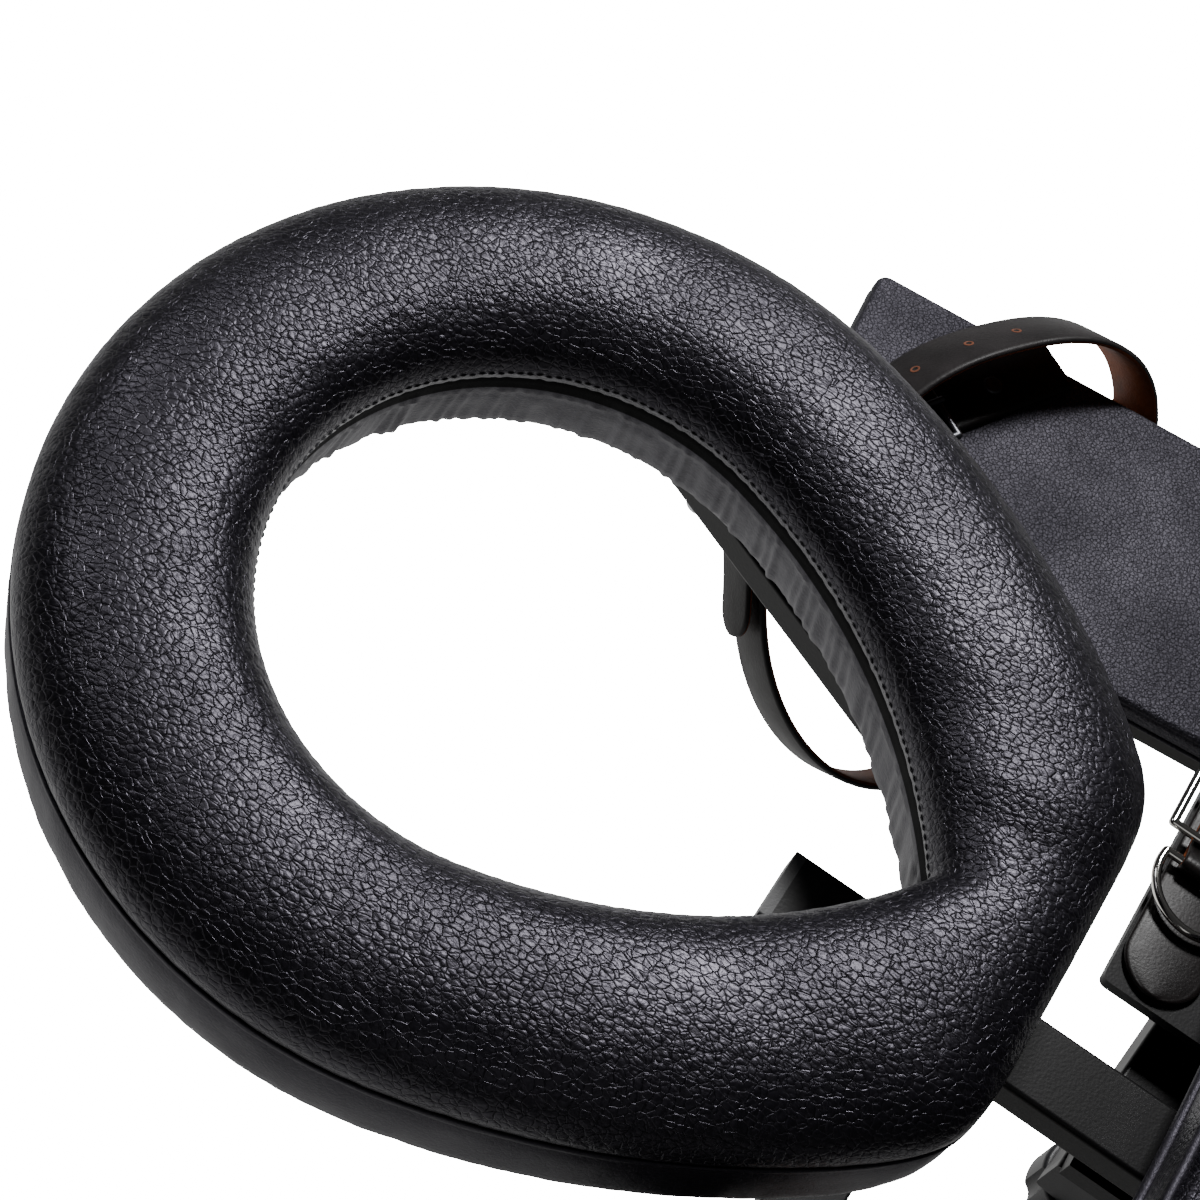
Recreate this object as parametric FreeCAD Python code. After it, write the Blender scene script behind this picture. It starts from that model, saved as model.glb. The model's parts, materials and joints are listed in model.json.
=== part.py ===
import FreeCAD, Part
import math
import os

# A padded bench with an open ring headrest, two strapped arm boards and a steel tube frame.
# Frame: +X runs from the headrest to the rear, +Y is the user's right, +Z is up and z = 0 is the floor.
# All lengths are millimetres.

# ---- driving dimensions ----
SEAM_Z = 600.0            # height of the headrest's side seam
RING_RADIUS = 168.0       # outer radius of the ring pad's round front
HOLE_RADIUS = 95.0        # inner radius of its hole, on the same centre
RING_CENTRE_BACK = 198.0  # from the ring's flat rear edge forward to that centre
HOLE_POINT_BACK = 50.0    # from the rear edge forward to the hole's pointed corner
FLANK_START = 75.0        # degrees from +X where the round front turns into the flanks
OUTER_FLANK_RADIUS = 333.0
RING_CORNER_RADIUS = 22.0
CROWN = 26.0              # how far the ring's top stands above its seam
RING_TOP_ROUND = 20.0
WALL = 40.0               # foam side wall below the seam
BOARD_T = 12.0            # plywood under the ring pad
BOARD_INSET = 12.0        # plywood set back from the pad's outside
HOLE_SETBACK = 20.0       # and from its hole

TORSO_GAP = 60.0          # between the ring's rear edge and the torso pad
TORSO_LENGTH = 560.0
TORSO_WIDTH = 240.0
TORSO_CROWN = 14.0
TORSO_BOARD_T = 14.0

TUBE_W, TUBE_H, TUBE_WALL = 30.0, 15.0, 1.5     # sliding headrest tube
SPINE_W, SPINE_H, SPINE_WALL = 40.0, 25.0, 2.0  # tube that it slides in
ARM_W, ARM_H = 30.0, 20.0                       # arm tubes
POST = 40.0                                     # square posts
FLOOR_HALF = 240.0                              # half length of the floor tubes
FOOT_H = 6.0

ARM_REACH = 227.0         # arm pivot to arm board pivot
ARM_STEP = 62.0           # the left arm pivots this far behind the right one
ARM_BOARD_W = 128.0
ARM_BOARD_FRONT = 262.0   # board pivot to the board's front end
ARM_BOARD_REAR = 150.0
ARM_PAD_T = 12.0
ARM_BASE_T = 8.0
RIGHT_SWING = -6.0        # degrees about +Z from square, arm tube
RIGHT_TOE_IN = 6.5        # degrees, arm board
LEFT_SWING = 17.0

BELT_W, BELT_T = 27.0, 3.0
GAP = 0.3                 # between soft or sliding neighbours on different bodies
FIT = 0.05                # radial clearance of pivot pins
SLIDE_PLAY = 0.1          # round the sliding tube in its bushings

# ---- places that follow from them ----
TOTAL = RING_CENTRE_BACK + RING_RADIUS + TORSO_GAP + TORSO_LENGTH
REAR_EDGE_X = RING_CENTRE_BACK + RING_RADIUS - TOTAL / 2
RING_X = REAR_EDGE_X - RING_CENTRE_BACK
BASE_TOP = SEAM_Z - WALL
TUBE_TOP = BASE_TOP - BOARD_T
TUBE_Z = TUBE_TOP - TUBE_H / 2
SPINE_TOP = TUBE_Z + SPINE_H / 2
SPINE_BOTTOM = SPINE_TOP - SPINE_H
ARM_BOARD_TOP = SEAM_Z - 58.0
ARM_BOARD_BOTTOM = ARM_BOARD_TOP - ARM_PAD_T - ARM_BASE_T
SWIVEL_T = 3.0
ARM_TUBE_TOP = ARM_BOARD_BOTTOM - SWIVEL_T - GAP
ARM_TUBE_BOTTOM = ARM_TUBE_TOP - ARM_H
FLOOR_TUBE_H = 25.0
FLOOR_TUBE_TOP = FOOT_H + FLOOR_TUBE_H
ARM_PIVOT_X = REAR_EDGE_X + 61.0
TORSO_X = REAR_EDGE_X + TORSO_GAP

V = FreeCAD.Vector
UP = V(0, 0, 1)


def save(node, *solids):
    """Write one node. Several separate solids go into one compound."""
    shape = solids[0] if len(solids) == 1 else Part.makeCompound(list(solids))
    shape.exportStep("parts/" + node + ".step")


def box(x0, x1, y0, y1, z0, z1):
    return Part.makeBox(x1 - x0, y1 - y0, z1 - z0, V(x0, y0, z0))


def disc(radius, z0, z1, x=0.0, y=0.0):
    return Part.makeCylinder(radius, z1 - z0, V(x, y, z0))


def edges_along(shape, direction):
    """The shape's straight edges that run along a direction."""
    found = []
    for edge in shape.Edges:
        if isinstance(edge.Curve, Part.Line) and abs(abs(edge.Curve.Direction.dot(direction)) - 1) < 1e-6:
            found.append(edge)
    return found


def rounded_box(x0, x1, y0, y1, z0, z1, radius, direction=UP):
    """A box whose edges along one direction are rounded."""
    block = box(x0, x1, y0, y1, z0, z1)
    return block.makeFillet(radius, edges_along(block, direction))


def tube_x(x0, x1, y, z, width, height, wall):
    """A rectangular tube along X, centred on (y, z), with rounded corners."""
    along = V(1, 0, 0)
    outer = rounded_box(x0, x1, y - width / 2, y + width / 2, z - height / 2, z + height / 2, 2.0, along)
    half_w = width / 2 - wall
    half_h = height / 2 - wall
    return outer.cut(box(x0 - 1, x1 + 1, y - half_w, y + half_w, z - half_h, z + half_h))


def turned(shape, degrees, centre=V(0, 0, 0), axis=UP):
    copy = shape.copy()
    copy.rotate(centre, axis, degrees)
    return copy


def moved(shape, offset):
    copy = shape.copy()
    copy.translate(offset)
    return copy


def mirrored(shape):
    """The same shape on the other side of the bench's middle plane."""
    return shape.mirror(V(0, 0, 0), V(0, 1, 0))


def arc(a, b, c):
    return Part.Arc(a, b, c).toShape()


# ---- ring headrest ----

def polar(centre, radius, degrees):
    angle = math.radians(degrees)
    return V(centre.x + radius * math.cos(angle), centre.y + radius * math.sin(angle), centre.z)


def flank_centre(circle_radius, flank_radius):
    """Centre of the flank arc that leaves the round front smoothly, on the right side."""
    return polar(V(RING_X, 0, 0), circle_radius - flank_radius, FLANK_START)


def ring_outer(inset=0.0):
    """Face of the ring's outer outline: round front, two flanks and a flat rear edge."""
    radius = RING_RADIUS - inset
    flank = OUTER_FLANK_RADIUS - inset
    centre = flank_centre(radius, flank)
    rear_x = REAR_EDGE_X - inset
    corner_y = centre.y + math.sqrt(flank ** 2 - (rear_x - centre.x) ** 2)
    start = polar(V(RING_X, 0, 0), radius, FLANK_START)
    corner = V(rear_x, corner_y, 0)
    corner_angle = math.degrees(math.atan2(corner_y - centre.y, rear_x - centre.x))
    middle = polar(centre, flank, (FLANK_START + corner_angle) / 2)
    flip = lambda p: V(p.x, -p.y, p.z)
    edges = [
        arc(start, V(RING_X - radius, 0, 0), flip(start)),
        arc(flip(start), flip(middle), flip(corner)),
        Part.makeLine(flip(corner), corner),
        arc(corner, middle, start),
    ]
    return Part.Face(Part.Wire(edges))


def ring_hole(grow=0.0):
    """Face of the hole: round front and two flanks that meet in a point at the rear."""
    radius = HOLE_RADIUS + grow
    start = polar(V(RING_X, 0, 0), radius, FLANK_START)
    point = V(REAR_EDGE_X - HOLE_POINT_BACK + grow, 0, 0)
    normal = V(math.cos(math.radians(FLANK_START)), math.sin(math.radians(FLANK_START)), 0)
    chord = point.sub(start)
    flank = -chord.dot(chord) / (2 * chord.dot(normal))
    centre = start.sub(normal * flank)
    point_angle = math.degrees(math.atan2(point.y - centre.y, point.x - centre.x))
    middle = polar(centre, flank, (FLANK_START + point_angle) / 2)
    flip = lambda p: V(p.x, -p.y, p.z)
    edges = [
        arc(start, V(RING_X - radius, 0, 0), flip(start)),
        arc(flip(start), flip(middle), point),
        arc(point, middle, start),
    ]
    return Part.Face(Part.Wire(edges))


def ring_slab(z0, z1, inset, setback):
    outer = moved(ring_outer(inset), V(0, 0, z0)).extrude(V(0, 0, z1 - z0))
    corners = [e for e in edges_along(outer, UP) if e.CenterOfMass.x > REAR_EDGE_X - inset - 1]
    outer = outer.makeFillet(RING_CORNER_RADIUS - inset, corners)
    hole = moved(ring_hole(setback), V(0, 0, z0 - 1)).extrude(V(0, 0, z1 - z0 + 2))
    return outer.cut(hole)


def make_headrest():
    pad = ring_slab(BASE_TOP, SEAM_Z + CROWN, 0.0, 0.0)
    top = [e for e in pad.Edges if min(v.Z for v in e.Vertexes) > SEAM_Z + CROWN - 0.01]
    save("ring_pad", pad.makeFillet(RING_TOP_ROUND, top))

    board = ring_slab(TUBE_TOP, BASE_TOP, BOARD_INSET, HOLE_SETBACK)
    screws = []
    for x, y in RING_SCREWS:
        for side in (1, -1):
            hole = disc(2.5, TUBE_TOP - 1, BASE_TOP - 2, x, side * y)
            board = board.cut(hole)
            shank = disc(2.5, TUBE_TOP - TUBE_H - 0.5, BASE_TOP - 2, x, side * y)
            head = disc(5.0, TUBE_TOP - TUBE_H - 3.5, TUBE_TOP - TUBE_H, x, side * y)
            screws.append(shank.fuse(head).removeSplitter())
    save("ring_base_board", board)
    save("ring_screws", *screws)

    tube = tube_x(TUBE_FRONT, TUBE_REAR, 0, TUBE_Z, TUBE_W, TUBE_H, TUBE_WALL)
    save("headrest_tube", tube)
    front = end_plug(TUBE_FRONT, -1, 0, TUBE_Z, TUBE_W, TUBE_H, TUBE_WALL)
    rear = end_plug(TUBE_REAR, 1, 0, TUBE_Z, TUBE_W, TUBE_H, TUBE_WALL)
    save("headrest_tube_plugs", front, rear)
    for name, side in (("right", 1), ("left", -1)):
        arm, plug = cradle_arm()
        if side < 0:
            arm, plug = mirrored(arm), mirrored(plug)
        for x, y in RING_SCREWS:
            arm = arm.cut(disc(2.5, TUBE_Z - TUBE_H, TUBE_Z + TUBE_H, x, side * y))
        save("cradle_arm_" + name, arm)
        CRADLE_PLUGS.append(plug)
    save("cradle_plugs", *CRADLE_PLUGS)


TUBE_FRONT = REAR_EDGE_X - 84.0
TUBE_REAR = REAR_EDGE_X + 380.0
CRADLE_SPREAD = 22.8      # degrees between each cradle arm and the tube
CRADLE_ROOT = V(REAR_EDGE_X - 30.0, 58.6, TUBE_Z)
CRADLE_W = 14.0
CRADLE_LENGTH = 200.0
CRADLE_PLUGS = []
RING_SCREWS = [(REAR_EDGE_X - 30.0, 36.0)]
for distance in (60.0, 170.0):
    angle = math.radians(CRADLE_SPREAD)
    RING_SCREWS.append((CRADLE_ROOT.x - distance * math.cos(angle), CRADLE_ROOT.y + distance * math.sin(angle)))


def end_plug(x, outward, y, z, width, height, wall, depth=14.0):
    """Moulded plug for a tube end at x: a rounded head and a body that fills the tube's mouth."""
    along = V(1, 0, 0)
    x0, x1 = sorted((x, x + outward * 4.0))
    head = rounded_box(x0, x1, y - width / 2, y + width / 2, z - height / 2, z + height / 2, 2.0, along)
    half_w = width / 2 - wall
    half_h = height / 2 - wall
    x0, x1 = sorted((x, x - outward * depth))
    body = box(x0, x1, y - half_w, y + half_w, z - half_h, z + half_h)
    return head.fuse(body).removeSplitter()


def cradle_arm():
    """Right arm of the ring's steel cradle: a short cross tube and a longer one that spreads forward."""
    half_h = TUBE_H / 2
    cross = box(CRADLE_ROOT.x - 15, CRADLE_ROOT.x + 15, TUBE_W / 2, CRADLE_ROOT.y, TUBE_Z - half_h, TUBE_Z + half_h)
    arm = tube_x(-CRADLE_LENGTH, 8.0, 0, 0, CRADLE_W, TUBE_H, TUBE_WALL)
    plug = end_plug(-CRADLE_LENGTH, -1, 0, 0, CRADLE_W, TUBE_H, TUBE_WALL)
    arm = moved(turned(arm, -CRADLE_SPREAD), CRADLE_ROOT)
    plug = moved(turned(plug, -CRADLE_SPREAD), CRADLE_ROOT)
    return cross.cut(arm).fuse(arm).removeSplitter(), plug


# ---- spine, posts and floor frame ----

SPINE_FRONT = REAR_EDGE_X + 78.0
SPINE_REAR = REAR_EDGE_X + 590.0
FRONT_POST_X = REAR_EDGE_X + 192.0
REAR_POST_X = REAR_EDGE_X + 450.0
CLAMP_X = REAR_EDGE_X + 245.0
FLOOR_TUBES_X = (REAR_EDGE_X + 40.0, REAR_EDGE_X + 565.0)
BUSHINGS_X = (SPINE_FRONT, REAR_EDGE_X + 265.0)
BUSHING_LENGTH = 30.0
CLAMP_RADIUS = 5.0
PIVOT_RADIUS = 5.0


def make_frame():
    spine = tube_x(SPINE_FRONT, SPINE_REAR, 0, TUBE_Z, SPINE_W, SPINE_H, SPINE_WALL)
    spine = spine.cut(disc(CLAMP_RADIUS + FIT, SPINE_BOTTOM - 1, TUBE_Z, CLAMP_X))
    for x in TORSO_SCREW_X:
        spine = spine.cut(disc(3.0, SPINE_BOTTOM - 1, SPINE_TOP + 1, x))
    save("spine_tube", spine)
    save("spine_rear_plug", end_plug(SPINE_REAR, 1, 0, TUBE_Z, SPINE_W, SPINE_H, SPINE_WALL))

    bushings = []
    for x in BUSHINGS_X:
        sleeve = box(x, x + BUSHING_LENGTH, -SPINE_W / 2 + SPINE_WALL, SPINE_W / 2 - SPINE_WALL,
                     SPINE_BOTTOM + SPINE_WALL, SPINE_TOP - SPINE_WALL)
        half_w = TUBE_W / 2 + SLIDE_PLAY
        half_h = TUBE_H / 2 + SLIDE_PLAY
        bushings.append(sleeve.cut(box(x - 1, x + BUSHING_LENGTH + 1, -half_w, half_w, TUBE_Z - half_h, TUBE_Z + half_h)))
    save("spine_bushings", *bushings)

    boss = disc(11.0, SPINE_BOTTOM - 10, SPINE_BOTTOM, CLAMP_X)
    save("clamp_boss", boss.cut(disc(CLAMP_RADIUS + FIT, SPINE_BOTTOM - 11, SPINE_BOTTOM + 1, CLAMP_X)))

    for name, x in (("front_post", FRONT_POST_X), ("rear_post", REAR_POST_X)):
        post = rounded_box(x - POST / 2, x + POST / 2, -POST / 2, POST / 2, FLOOR_TUBE_TOP, SPINE_BOTTOM, 3.0)
        inside = POST / 2 - 2.0
        post = post.cut(box(x - inside, x + inside, -inside, inside, FLOOR_TUBE_TOP - 1, SPINE_BOTTOM + 1))
        save(name, post)

    x0, x1 = FLOOR_TUBES_X
    low_z = FOOT_H + FLOOR_TUBE_H / 2
    save("lower_spine", tube_x(x0 + POST / 2, x1 - POST / 2, 0, low_z, POST, FLOOR_TUBE_H, 2.0))
    caps = []
    feet = []
    tubes = []
    for x in (x0, x1):
        tube = turned(tube_x(-FLOOR_HALF, FLOOR_HALF, 0, low_z, POST, FLOOR_TUBE_H, 2.0), 90)
        tubes.append(moved(tube, V(x, 0, 0)))
        for turn in (90, -90):
            plug = end_plug(FLOOR_HALF, 1, 0, low_z, POST, FLOOR_TUBE_H, 2.0)
            caps.append(moved(turned(plug, turn), V(x, 0, 0)))
            foot = rounded_box(FLOOR_HALF - 55, FLOOR_HALF - 5, -16, 16, 0, FOOT_H, 6.0)
            feet.append(moved(turned(foot, turn), V(x, 0, 0)))
    save("floor_tubes", *tubes)
    save("floor_tube_caps", *caps)
    save("rubber_feet", *feet)

    gussets = []
    for x in (FRONT_POST_X, REAR_POST_X):
        for side in (1, -1):
            root = x + side * POST / 2
            points = [V(root, -2.5, FLOOR_TUBE_TOP), V(root + side * 60, -2.5, FLOOR_TUBE_TOP)]
            points += [V(root + side * 60, -2.5, FLOOR_TUBE_TOP + 8), V(root + side * 8, -2.5, FLOOR_TUBE_TOP + 60)]
            points += [V(root, -2.5, FLOOR_TUBE_TOP + 60), points[0]]
            gussets.append(Part.Face(Part.makePolygon(points)).extrude(V(0, 5, 0)))
    save("post_gussets", *gussets)


# ---- torso pad ----

TORSO_SCREW_X = (REAR_EDGE_X + 415.0, REAR_EDGE_X + 560.0)   # behind the sliding tube's reach


def make_torso():
    x0, x1 = TORSO_X, TORSO_X + TORSO_LENGTH
    half = TORSO_WIDTH / 2
    foam_bottom = SPINE_TOP + TORSO_BOARD_T
    pad = rounded_box(x0, x1, -half, half, foam_bottom, SEAM_Z + TORSO_CROWN, 28.0)
    top = [e for e in pad.Edges if min(v.Z for v in e.Vertexes) > SEAM_Z + TORSO_CROWN - 0.01]
    save("torso_pad", pad.makeFillet(14.0, top))
    board = rounded_box(x0 + 15, x1 - 5, -half + 5, half - 5, SPINE_TOP, foam_bottom, 24.0)
    screws = []
    for x in TORSO_SCREW_X:
        screw = disc(3.0, SPINE_BOTTOM - 0.5, foam_bottom - 2, x)
        board = board.cut(screw)
        screws.append(screw.fuse(disc(6.0, SPINE_BOTTOM - 4, SPINE_BOTTOM, x)).removeSplitter())
    save("torso_base_board", board)
    save("torso_screws", *screws)


# ---- strap plate on each arm ----

PLATE_X = (-36.5, 13.5)  # across the arm, from its pivot's line
PLATE_Y = (48.0, 150.0)   # along the arm, from its pivot
PLATE_T = 5.0
PLATE_TOP = SEAM_Z - 63.0
CUFF_X = (-35.5, -35.5 + BELT_W + 4)
PLATE_TURN = -RIGHT_SWING   # the plate lies square to the bench when the arm is at rest
LEFT_PLATE_IN = 18.0        # the left plate sits this much further in, clear of its board
CUFF_Y = (51.0, 148.0)
RING_WIRE = 1.75          # radius of the rings' wire
DRING_BAR_Y = 103.0
DRING_HALF = 19.0
DRING_DEPTH = 24.0
SLIDE_Y = 126.0


def cuff_pieces():
    """Right strap plate in the arm's frame: plate, strap, doubled strap, D-ring and rectangular ring."""
    plate = rounded_box(PLATE_X[0], PLATE_X[1], PLATE_Y[0], PLATE_Y[1], PLATE_TOP - PLATE_T, PLATE_TOP, 3.0)
    riser = box(-10, 8, PLATE_Y[0] + 12, PLATE_Y[1] - 30, ARM_TUBE_TOP, PLATE_TOP - PLATE_T)
    x_mid = (CUFF_X[0] + CUFF_X[1]) / 2
    half = (CUFF_X[1] - CUFF_X[0]) / 2
    z = PLATE_TOP + BELT_T
    flat = box(CUFF_X[0], CUFF_X[1], CUFF_Y[0] + half, CUFF_Y[1], PLATE_TOP, z)
    tip = disc(half, PLATE_TOP, z, x_mid, CUFF_Y[0] + half)
    bar_z = z + 4.0
    roll = Part.makeCylinder(4.0, BELT_W, V(x_mid - BELT_W / 2, DRING_BAR_Y, bar_z), V(1, 0, 0))
    sheet = box(x_mid - BELT_W / 2, x_mid + BELT_W / 2, DRING_BAR_Y, CUFF_Y[1], z, z + 3.5)
    bore = Part.makeCylinder(RING_WIRE + FIT, 60, V(x_mid - 30, DRING_BAR_Y, bar_z), V(1, 0, 0))
    return {
        "strap_plate": plate.fuse(riser).removeSplitter(),
        "cuff_strap": flat.fuse(tip).removeSplitter(),
        "cuff_loop": roll.fuse(sheet).removeSplitter().cut(bore),
        "cuff_d_ring": d_ring(x_mid, DRING_BAR_Y, bar_z),
        "cuff_slide": wire_frame(x_mid, SLIDE_Y, z + 3.5 + RING_WIRE + 0.1, 22.0, 12.0),
    }


def d_ring(x, y, z):
    """A D-ring in the plane of z: a straight bar along X at y and a bow towards -Y."""
    a = V(x - DRING_HALF, y, z)
    b = V(x + DRING_HALF, y, z)
    bow = arc(a, V(x, y - DRING_DEPTH, z), b)
    bent = Part.Wire([bow]).makePipeShell([profile_at_start(bow)], True, True)
    bar = Part.makeCylinder(RING_WIRE, 2 * DRING_HALF, a, V(1, 0, 0))
    ends = [Part.makeSphere(RING_WIRE, a), Part.makeSphere(RING_WIRE, b)]
    return bent.fuse([bar] + ends).removeSplitter()


def profile_at_start(edge):
    """A wire circle square to the start of an edge."""
    start = edge.valueAt(edge.FirstParameter)
    tangent = edge.tangentAt(edge.FirstParameter)
    return Part.Wire(Part.makeCircle(RING_WIRE, start, tangent))


def wire_frame(x, y, z, half_x, half_y):
    """A rectangular ring of round wire, flat at height z, with mitred corners."""
    rods = []
    for side in (1, -1):
        rods.append(Part.makeCylinder(RING_WIRE, 2 * half_x, V(x - half_x, y + side * half_y, z), V(1, 0, 0)))
        rods.append(Part.makeCylinder(RING_WIRE, 2 * half_y, V(x + side * half_x, y - half_y, z), V(0, 1, 0)))
        for end in (1, -1):
            rods.append(Part.makeSphere(RING_WIRE, V(x + side * half_x, y + end * half_y, z)))
    return rods[0].fuse(rods[1:]).removeSplitter()


# ---- arms ----

def knob(radius, z0, z1, lobes=6):
    """A hand knob with shallow scallops round its rim and a bore up its middle."""
    body = disc(radius, z0, z1)
    body = body.makeFillet(2.0, [e for e in body.Edges if len(e.Vertexes) == 1])
    for i in range(lobes):
        angle = 2 * math.pi * (i + 0.5) / lobes
        body = body.cut(disc(5.0, z0 - 1, z1 + 1, (radius + 3) * math.cos(angle), (radius + 3) * math.sin(angle)))
    return body


ARM_INNER_END = -10.0    # inner end of an arm tube, from its pivot


def arm_tube():
    """Arm tube of the right side in its own frame: pivot at the origin, the tube along +Y."""
    length = ARM_REACH + 20.0
    z = ARM_TUBE_TOP - ARM_H / 2
    tube = turned(tube_x(ARM_INNER_END, length, 0, z, ARM_W, ARM_H, TUBE_WALL), 90)
    plugs = []
    for x, outward in ((ARM_INNER_END, -1), (length, 1)):
        head = end_plug(x, outward, 0, z, ARM_W, ARM_H, TUBE_WALL, 3.0)
        plugs.append(turned(head, 90))
    for y in (0.0, ARM_REACH):
        tube = tube.cut(disc(PIVOT_RADIUS + FIT, ARM_TUBE_BOTTOM - 1, ARM_TUBE_TOP + 1, 0, y))
    return tube, plugs


def arm_board():
    """Right arm board in its own frame: pivot at the origin, front end towards -X."""
    half = ARM_BOARD_W / 2
    top = ARM_BOARD_TOP
    base_top = top - ARM_PAD_T
    x0, x1 = -ARM_BOARD_FRONT, ARM_BOARD_REAR
    pad = rounded_box(x0, x1, -half, half, base_top, top, 8.0)
    rim = [e for e in pad.Edges if min(v.Z for v in e.Vertexes) > top - 0.01]
    pad = pad.makeFillet(3.0, rim)
    base = rounded_box(x0 + 1, x1 - 1, -half + 1, half - 1, ARM_BOARD_BOTTOM, base_top, 7.0)
    plate = rounded_box(-40, 40, -40, 40, ARM_BOARD_BOTTOM - SWIVEL_T, ARM_BOARD_BOTTOM, 6.0)
    pin = disc(PIVOT_RADIUS, ARM_TUBE_BOTTOM - 8, ARM_BOARD_BOTTOM - SWIVEL_T)
    pin = pin.fuse(disc(9.0, ARM_TUBE_BOTTOM - 8, ARM_TUBE_BOTTOM - GAP)).removeSplitter()
    return {"arm_board_pad": pad, "arm_board_base": base, "arm_swivel_plate": plate, "arm_swivel_pin": pin}


# Belt on the arm board, in the board's frame. Its arch and its hanging loop are ribbons in leaning planes.
BOARD_HALF = ARM_BOARD_W / 2
ARCH_CENTRE = V(-188.5, 20.4, SEAM_Z - 74.3)
ARCH_TURN, ARCH_LEAN = 49.6, 36.4        # degrees from the board's length, and from upright
ARCH_HALF_SPAN, ARCH_HEIGHT = 69.0, 50.2
ARCH_FULLNESS = 2.4                      # exponent of its oval; 2 is an ellipse
LAYER_TURN = 55.0
RIVET = V(-203.5, 35.5, ARM_BOARD_TOP)
LOOP_CENTRE = V(-202.0, -38.5, SEAM_Z - 117.0)
LOOP_TURN, LOOP_LEAN = 43.4, 51.2
LOOP_HALF_SPAN, LOOP_DROP = 53.8, 71.0
BUCKLE_AT = -38.0                        # along the flat layer from the rivet
BUCKLE_HALF = 10.0


def ribbon(points, width):
    """A belt along a smooth line through points in the XZ plane, its width along Y."""
    middle = Part.BSplineCurve()
    middle.interpolate([V(x, 0, z) for x, z in points])
    steps = 3 * len(points)
    sides = ([], [])
    for i in range(steps + 1):
        t = middle.FirstParameter + (middle.LastParameter - middle.FirstParameter) * i / steps
        at = middle.value(t)
        along = middle.tangent(t)[0]
        across = V(-along.z, 0, along.x) * (BELT_T / 2)
        sides[0].append(at.add(across))
        sides[1].append(at.sub(across))
    curves = []
    for side in sides:
        curve = Part.BSplineCurve()
        curve.interpolate(side)
        curves.append(curve.toShape())
    ends = [Part.makeLine(sides[0][0], sides[1][0]), Part.makeLine(sides[0][-1], sides[1][-1])]
    face = Part.Face(Part.Wire(Part.__sortEdges__(curves + ends)))
    strip = face.extrude(V(0, width, 0))
    return moved(strip, V(0, -width / 2, 0))


def oval_points(half_span, height, fullness, first, last, step):
    """Points of an oval's upper half, from the +X end towards the -X end."""
    points = []
    for degrees in range(first, last + 1, step):
        c = math.cos(math.radians(degrees))
        s = max(math.sin(math.radians(degrees)), 0.0)
        power = 2.0 / fullness
        points.append((math.copysign(half_span * abs(c) ** power, c), height * s ** power))
    return points


def lean_and_turn(shape, lean, turn, centre):
    return moved(turned(turned(shape, -lean, axis=V(1, 0, 0)), turn), centre)


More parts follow.
